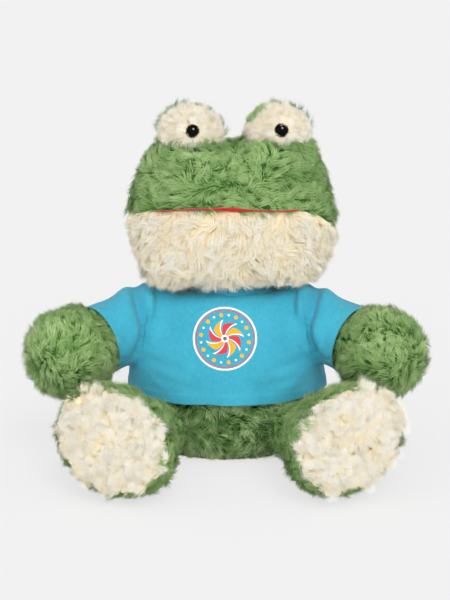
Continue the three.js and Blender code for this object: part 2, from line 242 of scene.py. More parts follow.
FIBRE = grained("polyester fibre", {"Scale": 260.0, "Detail": 6.0, "Roughness": 0.7},
                [(0.3, (214, 214, 210)), (0.7, (248, 248, 246))], bump=(0.6, 0.002),
                Roughness=1.0, Sheen_Weight=0.3, Specular_IOR_Level=0.1)


# ---------------------------------------------------------------- forms
def catmull(points, steps):
    p = np.array(points, float)
    last = len(p) - 1
    t = np.linspace(0, last, steps + 1)
    i = np.minimum(t.astype(int), last - 1)
    w = (t - i)[:, None]
    p0, p1, p2, p3 = (p[np.clip(i + k, 0, last)] for k in (-1, 0, 1, 2))
    v0, v1 = (p2 - p0) / 2, (p3 - p1) / 2
    q = (2 * p1 - 2 * p2 + v0 + v1) * w**3 + (-3 * p1 + 3 * p2 - 2 * v0 - v1) * w**2 + v0 * w + p1
    q[:, 0] = np.maximum(q[:, 0], 0)
    return q


def arc(radius, centre, start, end, steps):
    a = np.linspace(start, end, steps + 1)
    p = np.stack([radius * np.sin(a), centre + radius * np.cos(a)], axis=1)
    p[np.isclose(np.sin(a), 0), 0] = 0
    return p


def woven(grid):
    """Two triangles for each cell of a grid whose rows close on themselves, less the collapsed ones"""
    a0, b0 = grid[:-1], grid[1:]
    a1, b1 = np.roll(a0, -1, axis=1), np.roll(b0, -1, axis=1)
    tris = np.concatenate([np.stack([a0, a1, b1], 2).reshape(-1, 3), np.stack([a0, b1, b0], 2).reshape(-1, 3)])
    return tris[(tris != np.roll(tris, 1, axis=1)).all(axis=1)]


def lathe(profile, squash=1.0, around=96):
    """Points and triangles of a profile of [radius, height] turned about Z, facing out"""
    k = len(profile)
    a = np.arange(around) * 2 * math.pi / around
    r, h = profile[:, :1], np.repeat(profile[:, 1:], around, axis=1)
    points = np.stack([r * np.cos(a), r * np.sin(a) * squash, h], axis=2).reshape(-1, 3)
    grid = np.arange(k * around).reshape(k, around)
    for row in np.flatnonzero(profile[:, 0] <= 1e-6):
        grid[row] = grid[row, 0]
    return compact(points, woven(grid))


def ball(radius):
    return lathe(arc(radius, 0, math.pi, 0, 40), 1, 64)


def compact(points, tris):
    used, tris = np.unique(tris, return_inverse=True)
    return points[used], tris.reshape(-1, 3)


def sides_of(tris):
    return np.concatenate([tris[:, [0, 1]], tris[:, [1, 2]], tris[:, [2, 0]]])


def open_sides(tris, count):
    """The sides that no second triangle shares"""
    sides = sides_of(tris)
    key, back_key = sides[:, 0] * count + sides[:, 1], sides[:, 1] * count + sides[:, 0]
    return sides[~np.isin(key, back_key)]


def distance(points, centre):
    return np.linalg.norm(points - centre, axis=1)


def unit(v):
    return v / np.maximum(np.linalg.norm(v, axis=-1, keepdims=True), 1e-9)


def point_normals(points, tris):
    a, b, c = (points[tris[:, i]] for i in range(3))
    face = np.cross(b - a, c - a)
    total = np.zeros_like(points)
    for i in range(3):
        for axis in range(3):
            total[:, axis] += np.bincount(tris[:, i], face[:, axis], len(points))
    return unit(total)


def turn_z(degrees):
    return np.array(Matrix.Rotation(math.radians(degrees), 3, "Z"))


def basis(direction):
    d = unit(np.array(direction, float))
    across = unit(np.cross([0, 0, 1.0], d))
    return np.stack([across, np.cross(d, across), d], axis=1)


def noise(points, size, seed):
    """Smooth noise from -1 to 1, with lumps of about that size"""
    box = np.random.default_rng(seed).uniform(-1, 1, (32, 32, 32))
    p = points / size + 100
    i = np.floor(p).astype(int)
    f = p - i
    f = f * f * (3 - 2 * f)
    total = 0
    for corner in range(8):
        d = np.array([corner & 1, corner >> 1 & 1, corner >> 2 & 1])
        w = np.prod(np.where(d, f, 1 - f), axis=-1)
        j = (i + d) % 32
        total = total + w * box[j[..., 0], j[..., 1], j[..., 2]]
    return total * 1.4


class Form:
    """A surface in place, which can be masked, sampled and made into a skin"""

    def __init__(self, points, tris, normals=None):
        self.points, self.tris = points, tris
        self.normals = point_normals(points, tris) if normals is None else normals

    def part(self, mask):
        """The faces whose middle passes mask(points)"""
        keep = mask(self.points[self.tris].mean(axis=1))
        used, tris = np.unique(self.tris[keep], return_inverse=True)
        return Form(self.points[used], tris.reshape(-1, 3), self.normals[used])

    def sample(self, count, rng, weight):
        """Points and normals at random, closer together where the weight is higher"""
        a, b, c = (self.points[self.tris[:, i]] for i in range(3))
        size = np.linalg.norm(np.cross(b - a, c - a), axis=1) * weight((a + b + c) / 3)
        ends = np.cumsum(size)
        at = (np.arange(count) + rng.random(count)) / count * ends[-1]
        i = np.minimum(np.searchsorted(ends, at), len(ends) - 1)
        rng.shuffle(i)
        u, v = rng.random((2, count, 1))
        u, v = np.where(u + v > 1, 1 - u, u), np.where(u + v > 1, 1 - v, v)
        t = self.tris[i]
        mixed = [x[t[:, 0]] * (1 - u - v) + x[t[:, 1]] * u + x[t[:, 2]] * v for x in (self.points, self.normals)]
        return mixed[0], unit(mixed[1])

    def shell(self, depth, thick):
        """A closed sheet at a depth under the surface"""
        n = len(self.points)
        points = np.concatenate([self.points - self.normals * d for d in (depth, depth + thick)])
        a, b = open_sides(self.tris, n).T
        rim = [np.stack([b, a, a + n], 1), np.stack([b, a + n, b + n], 1)]
        return points, np.concatenate([self.tris, self.tris[:, ::-1] + n, *rim])


# ---------------------------------------------------------------- sizes that repeat the CAD's
torso_w, torso_d, torso_h = 121, 92, 101
torso_outline = np.concatenate([[[0, 0]], catmull(
    [[w * torso_w / 2, h * torso_h] for w, h in zip(
        [0.69, 0.86, 0.97, 1, 0.98, 0.9, 0.79, 0.69, 0.57, 0.42, 0.3],
        [0, 0.035, 0.14, 0.27, 0.4, 0.55, 0.7, 0.82, 0.915, 0.975, 1])], 60), [[0, torso_h]]])
torso_squash = torso_d / torso_w
neck_at = np.array([4, -1.84, 103.0])
head_w, head_d, head_h, head_base = 132, 95, 95, 105
# the head's foot, from the neck's centre
HEAD_AT = np.array([0, 1.84, 2])
head_outline = catmull(
    [[w * head_w / 2, h * head_h] for w, h in zip(
        [0, 0.5, 0.765, 0.88, 0.957, 1, 0.995, 0.93, 0.82, 0.64, 0.36, 0],
        [0, 0.008, 0.05, 0.13, 0.25, 0.42, 0.6, 0.75, 0.88, 0.955, 0.992, 1])], 72)
head_squash = head_d / head_w
# shares of the head's height, and of its width or depth there
BROW_WIDTH = ([0.78, 0.88, 0.955, 0.985, 0.996, 1.0], [0.9, 0.83, 0.75, 0.7, 0.6, 0.0])
BROW = ([0, 0.12, 0.3, 0.6, 0.75, 0.88, 0.955, 0.985, 0.996, 1.0],
        [0.76, 0.89, 0.98, 0.98, 0.97, 0.94, 0.9, 0.85, 0.75, 0.0])
MOUTH_DROP = ([-66, -59, -52, -38, -22, 0, 20, 40, 50, 58, 66], [7.5, 5.1, 3.2, 1.6, 0.8, 1.2, 1.5, 3.0, 5.6, 10, 18])
head_turn = turn_z(4)
mouth_level = 0.58 * head_h
mouth_z = head_base + mouth_level
dome_r = 20.5
dome_local = {side: np.array([side * 26.25, HEAD_AT[1] - 0.37 * head_d / 2, 99]) for side in (1, -1)}
gaze = np.array([0, -math.cos(math.radians(11)), math.sin(math.radians(11))])
arm_r, arm_length, paw_r = 18, 49, 28.3
leg_r, leg_length, foot_h, foot_w = 22, 57, 66, 81
sole_reach, sole_r, sole_rise = 12, 0.93 * 33, 5
SIDES = (("left", 1), ("right", -1))


def mirrored(v, side):
    return np.array([v[0] * side, v[1], v[2]])


def leg_way(side):
    out, up = math.radians(26 if side > 0 else 21), math.radians(12.01)
    return np.array([side * math.sin(out) * math.cos(up), -math.cos(out) * math.cos(up), math.sin(up)])


# where each limb's root turns, and which way the limb runs
ARMS = {side: (mirrored([55.2, -11.49, 81.81], side), mirrored([0.7797, -0.5875, -0.2164], side)) for side in (1, -1)}
LEGS = {side: (mirrored([42.47, -45.32, 22.6], side), leg_way(side)) for side in (1, -1)}


def on_limb(points, start, way):
    """From a limb's own frame, with Z along it, to the row frame"""
    return points @ basis(way).T + start


def in_head(points):
    """From the head's own frame, at the neck's centre, to the row frame"""
    return points @ head_turn.T + neck_at


def limb(root, waist, length, end, end_points):
    """A profile: a round root, a waist of [along, wide] shares, and the end's own points"""
    side = [[root + (end - root) * wide, along * length] for along, wide in waist]
    round_root = arc(root, 0, math.pi, math.pi / 2, 16)
    middle = catmull([round_root[-1], *side, end_points[0]], 30)
    return np.concatenate([round_root[:-1], middle, end_points[1:]])


def torso_form(around=120):
    return Form(*lathe(torso_outline, torso_squash, around))


def mouth_drop(x):
    """How far the mouth's seam has dropped at x"""
    return np.interp(x, *MOUTH_DROP)


def head_form(around=144):
    at = int(np.argmin(np.abs(head_outline[:, 1] - mouth_level)))
    outline = head_outline.copy()
    outline[at] = [np.interp(mouth_level, head_outline[:, 1], head_outline[:, 0]), mouth_level]
    points, tris = lathe(outline, head_squash, around)
    x, y, z = points.T
    share = np.maximum(np.interp(z, head_outline[:, 1], head_outline[:, 0]) / (head_w / 2), 0.02)
    height = z / head_h
    front = np.interp(height, *BROW)
    y *= np.where(y < 0, np.maximum(front / share, 1), 1)
    # the forehead's top is squarer than a round section, and so is the lower jaw
    deep = head_d / 2 * front
    ahead = np.clip(-y / np.maximum(deep, 1), 0, 1)
    c = np.clip(x / np.maximum(share * head_w / 2, 1), -1, 1)
    box = np.interp(height, [0.78, 0.9, 1], [0, 1, 1]) * np.clip(ahead / 0.3, 0, 1)
    wide = head_w / 2 * np.interp(height, *BROW_WIDTH)
    x += (np.maximum(wide, share * head_w / 2) * np.sign(c) * np.abs(c) ** 0.72 - x) * box
    y += (-deep * ahead ** 0.72 - y) * box
    low = np.interp(height, [0, 0.16, 0.36], [1, 0.8, 0]) * np.clip(ahead / 0.3, 0, 1)
    y += (-deep * ahead ** 0.6 - y) * low
    # it swells around the domes, widens at the lower corners, and dips along the mouth and between the domes
    for dome in dome_local.values():
        ring = np.hypot(x - dome[0], y + HEAD_AT[1] - dome[1]) - 22
        z += 3.4 * np.exp(-((ring / 8) ** 2)) * np.clip((height - 0.86) / 0.1, 0, 1)
    corner = np.exp(-((z / 9) ** 2)) * np.clip(np.abs(x) / 34, 0, 1)
    x *= 1 + np.where(x > 0, 0.07, 0.13) * corner
    z -= mouth_drop(x) * np.exp(-(((z - mouth_level) / 26) ** 2))
    z -= 5.5 * np.exp(-((x / 13) ** 2)) * np.clip((z - 78) / 16, 0, 1)
    return Form(in_head(points + HEAD_AT), tris)


def dome_form(side):
    points, tris = ball(dome_r)
    points = points[:, [0, 2, 1]] * [1, -1, 1]
    points[:, 2] *= np.where(points[:, 2] > 0, 0.86, 1)
    return Form(in_head(points + dome_local[side]), tris)


def arm_form(side):
    profile = limb(arm_r, [[0.3, 0], [0.57, 0.02], [0.68, 0.42], [0.83, 0.86]], arm_length, paw_r,
                   arc(paw_r, arm_length, math.pi / 2, 0, 24))
    points, tris = lathe(profile, 1, 96)
    far = np.maximum(np.hypot(points[:, 0], points[:, 1]), 1e-6)
    points[:, :2] *= (1 + 2.5 * np.interp(points[:, 2], [14, 24, 32, 44], [0, 0.5, 1, 0]) / far)[:, None]
    return Form(on_limb(points, *ARMS[side]), tris)


def widened(points, side):
    roll = math.radians(25)
    toes = np.array([math.cos(roll), math.sin(roll) * side, 0])
    t = np.clip((points[:, 2] - leg_r) / (leg_length - leg_r), 0, 1)
    grown = t * t * (3 - 2 * t) * (foot_w / foot_h - 1)
    return points + toes * ((points @ toes) * grown)[:, None]


def on_leg(points, side):
    return on_limb(widened(points, side), *LEGS[side])


def leg_form(side):
    end = catmull([[foot_h / 2, leg_length], [0.985 * foot_h / 2, leg_length + 0.6 * sole_reach],
                   [sole_r, leg_length + sole_reach]], 12)
    profile = limb(leg_r, [[0.3, 0], [0.52, 0.12], [0.72, 0.5], [0.88, 0.9]], leg_length, foot_h / 2, end)
    points, tris = lathe(profile, 1, 110)
    return Form(on_leg(points, side), tris)


def sole_form(side):
    a = np.linspace(math.pi / 2, 0, 24)
    rim = leg_length + sole_reach + 0.3
    profile = np.stack([sole_r * np.sin(a), rim + sole_rise * np.cos(a)], 1)
    profile[-1, 0] = 0
    points, tris = lathe(profile, 1, 110)
    return Form(on_leg(points, side), tris)


# ---------------------------------------------------------------- meshes
def mesh_object(name, points, tris, material, uv=None, normals=None):
    """points in mm; uv holds one pair for each corner of each triangle"""
    mesh = bpy.data.meshes.new(name)
    mesh.vertices.add(len(points))
    mesh.vertices.foreach_set("co", (np.asarray(points) * MM).astype(np.float32).ravel())
    mesh.loops.add(len(tris) * 3)
    mesh.loops.foreach_set("vertex_index", tris.astype(np.int32).ravel())
    mesh.polygons.add(len(tris))
    mesh.polygons.foreach_set("loop_start", np.arange(0, len(tris) * 3, 3, dtype=np.int32))
    mesh.polygons.foreach_set("use_smooth", np.ones(len(tris), bool))
    if uv is not None:
        layer = mesh.uv_layers.new(name="OFBake")
        layer.uv.foreach_set("vector", uv.astype(np.float32).ravel())
    mesh.update(calc_edges=True)
    if normals is not None:
        mesh.normals_split_custom_set_from_vertices(normals.astype(np.float32))
    mesh.materials.append(material)
    return add_object(name, mesh)


def hand_over(obj, node, body):
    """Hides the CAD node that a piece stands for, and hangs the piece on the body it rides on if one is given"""
    if body:
        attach(obj, body)
    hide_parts(node)


def turned_about(v, axis, angle):
    c, s = np.cos(angle)[:, None], np.sin(angle)[:, None]
    return v * c + np.cross(axis, v) * s


def tufts(form, count, flow, weight, look, seed):
    """Strands of pile on a form. Returns points, triangles, corner maps and normals."""
    rng = np.random.default_rng(seed)
    count = int(count * thin_out)
    long, depth, size, loose = look["long"], look["depth"], look["size"], look["loose"]
    skin, n = form.sample(count, rng, weight)
    root = skin - n * (depth + 0.5)
    way = flow(skin)
    way = unit(way - n * np.sum(way * n, axis=1, keepdims=True))
    angle = look["swirl"] * (noise(skin, size, seed + 1) + 0.5 * noise(skin, size * 0.45, seed + 2))
    way = turned_about(way, n, angle)

    # the strands gather into locks, each about the strand at its own root
    corners = form.points[form.tris]
    area = 0.5 * np.linalg.norm(np.cross(corners[:, 1] - corners[:, 0], corners[:, 2] - corners[:, 0]), axis=1)
    reached = float((area * weight(corners.mean(axis=1))).sum())
    locks = min(max(int(reached / look["lock"]), 8), count)
    tree = KDTree(locks)
    for i in range(locks):
        tree.insert(root[i], i)
    tree.balance()
    own = np.array([tree.find(p)[1] for p in root])
    turn = rng.normal(0, 0.35, locks)
    lean_c = np.clip(look["lean"] + rng.normal(0, 0.16, locks), 0.2, 1.45)
    long_c = long * rng.uniform(0.82, 1.15, locks) * (1 + 0.15 * noise(skin[:locks], 14, seed + 3))
    curl_c = rng.uniform(-0.3, 0.3, locks)
    shade_c = rng.normal(0, look["vary"], locks)
    n_c = n[:locks]
    way_c = turned_about(way[:locks], n_c, turn)
    root_c = root[:locks]

    lean = lean_c[own] + rng.normal(0, 0.14 * loose, count)
    length = long_c[own] * rng.uniform(0.72, 1.12, count)
    side_way = turned_about(way, n, turn[own] + rng.normal(0, 0.3 * loose, count))

    def reach(base, normal, way, lean, length):
        return base + length[:, None] * (normal * np.cos(lean)[:, None] + way * np.sin(lean)[:, None])

    tip_c = reach(root_c, n_c, way_c, lean_c, long_c)
    mid_c = reach(root_c, n_c, way_c, lean_c * 0.55, long_c * 0.55)
    tip = reach(root, n, side_way, lean, length)
    mid = reach(root, n, side_way, lean * 0.55, length * 0.55)
    pull = (look["pull"] * rng.uniform(0.75, 1.1, count))[:, None]
    tip = tip + (tip_c[own] - tip) * pull
    mid = mid + (mid_c[own] - mid) * pull * 0.45
    bend = np.cross(n, way)
    mid += bend * (curl_c[own] * length)[:, None]
    tip -= bend * (curl_c[own] * length * 0.4)[:, None]
    for p in (mid, tip):
        p[:, 2] = np.maximum(p[:, 2], 0.35 + rng.random(count) * 0.5)
    root[:, 2] = np.maximum(root[:, 2], 0.9)

    d0, d1 = unit(mid - root), unit(tip - mid)
    # a strand is a narrow blade with its broad side outward
    spin = rng.normal(0, 0.3, count)
    ref = unit(np.cross(d0, n) + 1e-4)
    ref2 = np.cross(d0, ref)
    thick = look["thick"] * rng.uniform(0.75, 1.25, count)
    rings = []
    for base, wide in ((root, 1.0), (mid, 0.9)):
        for k in range(3):
            a = spin + k * math.pi / 2
            reach_k = thick * wide * (0.7 if k == 1 else 1.25)
            rings.append(base + (ref * np.cos(a)[:, None] + ref2 * np.sin(a)[:, None]) * reach_k[:, None])
    points = np.stack([*rings, tip], axis=1)
    one = np.array([
        [0, 2, 1],
        [0, 1, 4], [0, 4, 3], [1, 2, 5], [1, 5, 4], [2, 0, 3], [2, 3, 5],
        [3, 4, 6], [4, 5, 6], [5, 3, 6],
    ])
    tris = (one[None] + (np.arange(count) * 7)[:, None, None]).reshape(-1, 3)

    tint = 0.5 + 0.2 * noise(skin, 16, seed + 4) + shade_c[own] + rng.normal(0, 0.09 * loose, count) + look["pale"]
    tint = np.clip(tint, 0.04, 0.96)
    # v runs from the root colour, painted shade at a strand's foot, to the tip colour; the base cap sits at the root
    # end
    across = np.array([-0.004, 0.0, 0.004])[[0, 1, 2, 0, 1, 2, 1]]
    along = np.array([0.06, 0.06, 0.06, 0.5, 0.5, 0.5, 0.97])
    uv = np.empty((count, 10, 3, 2))
    uv[..., 0] = tint[:, None, None] + across[one][None]
    uv[..., 1] = along[one][None]
    uv[:, 0, :, 1] = [0.02, 0.05, 0.08]

    centre = np.stack([root, root, root, mid, mid, mid, tip], axis=1)
    out = unit(points - centre)
    out[:, 6] = d1
    soft = look["soft"] * np.clip(1 + np.sum(out * n[:, None], axis=2, keepdims=True), 0, 1)
    lit = unit(n + np.array([0, -0.75, 0.65]) * look["lit"])
    normals = unit(out * (1 - soft) + lit[:, None] * soft)
    return points.reshape(-1, 3), tris, uv.reshape(-1, 3, 2), normals.reshape(-1, 3)


def plush(node, body, form, count, flow, weight, look, seed, material):
    """A stuffed piece: its backing and its pile, in place of a CAD node"""
    points, tris = form.shell(look["depth"], 1.2)
    under = form.points - form.normals * look["depth"]
    swell = 0.5 + 0.5 * noise(under, 3.4, seed + 11) + 0.35 * noise(under, 1.7, seed + 12)
    points[:len(under)] += form.normals * (look["under"] * look["depth"] * np.clip(swell, 0, 1.2))[:, None]
    points[:, 2] = np.maximum(points[:, 2], 0.8)
    # the backing's map sits at the root end, so it takes the root colour: painted shade seen in the gaps between the
    # strands
    shade = np.random.default_rng(seed + 9).uniform(-0.2, 0.2, len(tris))
    uv = np.array([[0.48, 0.004], [0.52, 0.004], [0.5, 0.03]]) + shade[:, None, None] * [1, 0]
    strands = tufts(form, count, flow, weight, look, seed)
    obj = mesh_object("plush_" + node.replace("_skin", "").replace("_panel", ""),
                      np.concatenate([points, strands[0]]), np.concatenate([tris, strands[1] + len(points)]),
                      material, np.concatenate([uv, strands[2]]),
                      np.concatenate([point_normals(points, tris), strands[3]]))
    hand_over(obj, node, body)


# A look's lengths are in mm: a strand's length, how deep the backing lies, the area of a lock, the size of the
# swirls and half a strand's width. The rest are angles in radians or shares.
PLAIN_LOOK = {"long": 8.8, "depth": 6.2, "lock": 11.0, "lean": 0.95, "swirl": 1.7, "size": 15, "pull": 0.42,
              "thick": 0.16, "soft": 0.75, "under": 0.2, "vary": 0.13, "loose": 1, "pale": 0, "lit": 0}


def look(**changes):
    return {**PLAIN_LOOK, **changes}


def constant(x, y, z):
    return lambda p: np.broadcast_to(np.array([x, y, z], float), p.shape)


def away_from(centre):
    return lambda p: unit(p - centre)


def parted(spread, y, z):
    """Pile that is combed along (0, y, z), and to both sides of the head's middle"""
    return lambda p: np.stack([(p[:, 0] - neck_at[0]) / spread, np.full(len(p), y), np.full(len(p), z)], axis=1)


# ---------------------------------------------------------------- the head
seam_y = 0.14 * head_d / 2 + HEAD_AT[1]
dome_seam = dome_local[1][1] + 0.18 * dome_r
dome_at = {side: in_head(dome_local[side][None])[0] for side in (1, -1)}


def head_local(p):
    return (p - neck_at) @ head_turn


def over_mouth(p):
    return p[:, 2] - (mouth_z - mouth_drop(head_local(p)[:, 0]))


def off_domes(p):
    return (distance(p, dome_at[1]) > dome_r - 4) & (distance(p, dome_at[-1]) > dome_r - 4)


def forehead_flow(p):
    q = p - neck_at
    up = np.interp(p[:, 2], [150, 172, 186], [-0.7, -0.3, 1.1])
    return np.stack([q[:, 0] / 45, np.full(len(p), -0.25), up], axis=1)


def outside_head(p):
    q = head_local(p) - HEAD_AT
    r = np.interp(q[:, 2], head_outline[:, 1], head_outline[:, 0], right=0)
    return (q[:, 2] > head_h) | (np.hypot(q[:, 0], q[:, 1] / head_squash) > r - 4)


whole_head = head_form()
upper = whole_head.part(lambda p: (head_local(p)[:, 1] < seam_y) & (over_mouth(p) > 0))
lower = whole_head.part(lambda p: (head_local(p)[:, 1] < seam_y) & (over_mouth(p) < 0))
rear = whole_head.part(lambda p: head_local(p)[:, 1] > seam_y)
# the jaw's front edge is lifted off the shirt
q = head_local(lower.points)
lift = 3.9 * np.clip((-q[:, 1] - 8) / 14, 0, 1) * np.clip((46 - np.abs(q[:, 0])) / 22, 0, 1)
lift *= np.exp(-(((lower.points[:, 2] - 104) / 13) ** 2))
lower = Form(lower.points + lift[:, None] * [0, 0, 1], lower.tris)

plush("head_front", "head", upper, 19000, forehead_flow,
      lambda p: off_domes(p) * np.interp(over_mouth(p), [1, 1.01, 5], [0, 0.45, 1]), look(), 104, GREEN)
plush("chin", "head", lower, 26000, parted(60, -0.3, -1),
      lambda p: (np.abs(over_mouth(p)) > 1) * np.where((p[:, 2] < 106.5) & (p[:, 1] > -18), 0.5, 1),
      look(long=9.4, swirl=1.3, lock=13, pale=0.26, vary=0.14, loose=1.2, thick=0.115, under=0.22, lit=0.5), 200, CREAM)
plush("head_back", "head", rear, 18500, parted(80, 0.3, -0.8),
      lambda p: off_domes(p) * np.where(p[:, 2] < 108, 0.3, 1), look(thick=0.26), 300, GREEN)

for suffix, side in SIDES:
    dome = dome_form(side)
    bead_at = dome_at[side] + head_turn @ gaze * dome_r
    tuft_at = dome_at[side] + np.array([-0.78, -0.16, 0.5]) * dome_r
    # the pile's backing comes up to the bead's foot
    mound = 4.2 * np.exp(-((distance(dome.points, bead_at) / 8) ** 4))
    dome = Form(dome.points + dome.normals * mound[:, None], dome.tris)

    def in_hood(p):
        """Green: behind the dome's seam, and in one tuft on the left dome's inner edge"""
        return (head_local(p)[:, 1] > dome_seam) | ((side > 0) & (distance(p, tuft_at) < 7.6))

    front = dome.part(lambda p: ~in_hood(p) & outside_head(p) & ((p[:, 2] > 189) | (p[:, 1] > -16)))
    plush(f"eye_front_{suffix}", "head", front, 10000, away_from(bead_at),
          lambda p: (distance(p, bead_at) > 4.2) & ((p[:, 2] > 198) | (p[:, 1] > -22)),
          look(long=7.4, depth=4.6, swirl=0.6, lean=0.9, lock=9, pull=0.3, pale=0.32, vary=0.05, loose=1.8,
               thick=0.085, soft=0.7, under=0.4, lit=0.45), 400 + side * 10, CREAM)
    plush(f"eye_hood_{suffix}", "head", dome.part(lambda p: in_hood(p) & outside_head(p)), 4200,
          constant(0, -0.3, 1), lambda p: 1 + 8 * (side > 0) * np.exp(-(distance(p, tuft_at) / 6) ** 2),
          look(long=9.0, depth=5.0, swirl=0.9, lean=0.8, thick=0.14, pale=0.15), 450 + side * 10, GREEN)


# ---------------------------------------------------------------- limbs and torso
def by_reach(start, way, marks, values):
    """A weight that follows how far along a limb a point is"""
    return lambda p: np.interp((p - start) @ way, marks, values)


def from_cuff(start, way):
    """The arm's pile runs back into the sleeve before the cuff, and on round the paw after it"""
    paw_end = start + way * (arm_length + paw_r)
    turn = by_reach(start, way, [32, 48], [-1, 1])
    return lambda p: unit(p - paw_end) * turn(p)[:, None] + way * 0.1


def over_sole(centre):
    """From the sole's middle outward, and in again at the rim, with whorls"""
    def flow(p):
        q = p - centre
        far = np.sqrt(np.sum(q * q, axis=1, keepdims=True) + 70)
        whorls = np.stack([noise(p, 9, 77), np.zeros(len(p)), noise(p, 9, 78)], axis=1)
        return q / far * (1.0 - 1.1 * np.clip((far - 22) / 10, 0, 1)) + 0.4 * whorls + [0, 0, 0.1]
    return flow


def below_hem(p):
    return np.where(p[:, 2] < 46, 1, 0.02)


for suffix, side in SIDES:
    start, way = ARMS[side]
    plush(f"arm_skin_{suffix}", f"arm_{suffix}", arm_form(side), 18500, from_cuff(start, way),
          by_reach(start, way, [20, 24, 30], [0, 0.6, 1]),
          look(lean=0.8, swirl=1.6, depth=5.0, vary=0.18, pale=0.03), 500 + side * 10, GREEN)
    start, way = LEGS[side]
    plush(f"leg_skin_{suffix}", f"leg_{suffix}", leg_form(side), 18500, away_from(start),
          by_reach(start, way, [-8, 5, 30, 56, 62, 68.8], [0.05, 0.5, 1, 1, 1.3, 1.3]),
          look(swirl=1.2), 600 + side * 10, GREEN)
    plush(f"sole_{suffix}", f"leg_{suffix}", sole_form(side), 31000,
          over_sole(start + way * (leg_length + sole_reach - 12)),
          by_reach(start, way, [69.9, 71.4], [0.12, 1]),
          look(long=9.4, depth=5.4, lean=0.8, swirl=1.2, lock=13, pull=0.4, pale=0.3, thick=0.095,
               vary=0.1, loose=1.5, soft=0.65, under=0.42, lit=0.5), 700 + side * 10, CREAM)

whole_torso = torso_form()
# the belly's pile takes the green plush with painted shade
plush("torso_front", "torso", whole_torso.part(lambda p: (p[:, 1] < 0) & (p[:, 2] > 0.3)), 14000,
      constant(0, -0.3, -1), below_hem,
      look(long=8.8, depth=7.0, lean=0.85, swirl=2.0, vary=0.34, loose=1.7), 800, SHADED_GREEN)
plush("torso_back", "torso", whole_torso.part(lambda p: (p[:, 1] > 0) & (p[:, 2] > 0.3)), 9000,
      constant(0, 0.3, -1), below_hem, look(long=7.5, swirl=1.4), 820, GREEN)


# ---------------------------------------------------------------- eyes, mouth and neck
def bead_profile():
    """A domed bead with a flat back, in one with its ribbed shank"""
    base, shank, length, ribs, deep = dome_r + 0.3, 1.9, 11, 5, 0.35
    pitch = length / (2 * ribs + 1)
    out = [[0, base - length], [shank - deep, base - length]]
    for i in range(1, ribs + 1):
        low = base - length + pitch * (2 * i - 1)
        out += [[shank - deep, low], [shank, low + pitch * 0.8], [shank - deep, low + pitch]]
    a = np.linspace(math.pi / 2, 0, 20)
    rim = [[shank - deep, base], [3.9, base - 0.1], [4.25, base + 0.05]]
    dome = np.stack([4.35 * np.sin(a), base + 0.35 + 3.5 * np.cos(a)], 1)
    dome[-1, 0] = 0
    return np.array([*out, *rim, *dome])


for suffix, side in SIDES:
    points, tris = lathe(bead_profile(), 1, 48)
    bead = mesh_object(f"safety_eye_{suffix}", in_head(points @ basis(gaze).T + dome_local[side]), tris, BEAD)
    hand_over(bead, f"eye_bead_{suffix}", "head")

# the felt in the mouth: a section of [in, up] points carried along the crease, thickest at the middle
reach_x = np.linspace(-50, 38, 90)
level_r = 0.5 * head_w * np.interp(mouth_level, head_outline[:, 1], head_outline[:, 0] / (head_w / 2))
rail = in_head(np.stack([reach_x, HEAD_AT[1] - head_squash * np.sqrt(level_r**2 - reach_x**2),
                         np.full(90, mouth_z - neck_at[2])], 1))
inward = unit((neck_at + HEAD_AT - rail) * [1, 1, 0])
rail[:, 2] += 0.7 * noise(rail, 16, 77) - 0.5 - mouth_drop(reach_x) + 0.9 * np.exp(-((reach_x + 1) / 60) ** 2)
up = (0.42 + 0.8 * np.exp(-((reach_x + 4) / 12) ** 2))[:, None] * [0, 0, 1]
section = [(2.2, 0.9), (0.9, 0.5), (0.7, 0.0), (0.9, -0.5), (2.2, -0.9), (14, -0.5), (14, 0.5)]
grid = np.arange(len(section) * 90).reshape(-1, 90)
ends = [np.array([[grid[0, e], grid[j, e], grid[j + 1, e]][::step] for j in range(1, len(section) - 1)])
        for e, step in ((0, -1), (-1, 1))]
lips = mesh_object("felt_mouth", np.concatenate([rail + inward * a + up * b for a, b in section]),
                   np.concatenate([woven(grid.T), *ends]), FELT)
hand_over(lips, "mouth_lining", "head")

points, tris = ball(18)
plush("neck", "neck", Form(points + neck_at, tris), 2500, constant(0, 0, 1),
      lambda p: np.abs(p[:, 2] - neck_at[2]) < 9, look(long=5, depth=4.5, thick=0.25), 850, GREEN)
disc = np.array([[0, 0.5], [41.2, 0.5], [41.7, 1.2], [41.2, 2.9], [0, 2.9]])
plush("seat_panel", "torso", Form(*lathe(disc, torso_squash, 96)), 2500, away_from(np.array([0, 0, 1.5])),
      lambda p: p[:, 2] < 2, look(long=4, depth=0.2, lean=1.5, thick=0.25), 860, GREEN)


# ---------------------------------------------------------------- the shirt
hem_z, NECK_HOLE, JERSEY_THICK = 40, 24.6, 0.9


def boxy(rows, around=144):
    """A closed body from rows of [height, half width, half depth before, half depth behind, roundness]"""
    a = np.arange(around) * 2 * math.pi / around
    c, q = np.cos(a), np.sin(a)
    made = []
    for z, w, before, behind, n in rows:
        x = w * np.sign(c) * np.abs(c) ** (2 / n)
        y = np.where(q < 0, before, behind) * np.sign(q) * np.abs(q) ** (2 / n)
        made.append(np.stack([x, y, np.full(around, z)], 1))
    grid = np.arange(len(made) * around).reshape(-1, around)
    grid[0], grid[-1] = grid[0, 0], grid[-1, 0]
    return compact(np.concatenate(made), woven(grid))


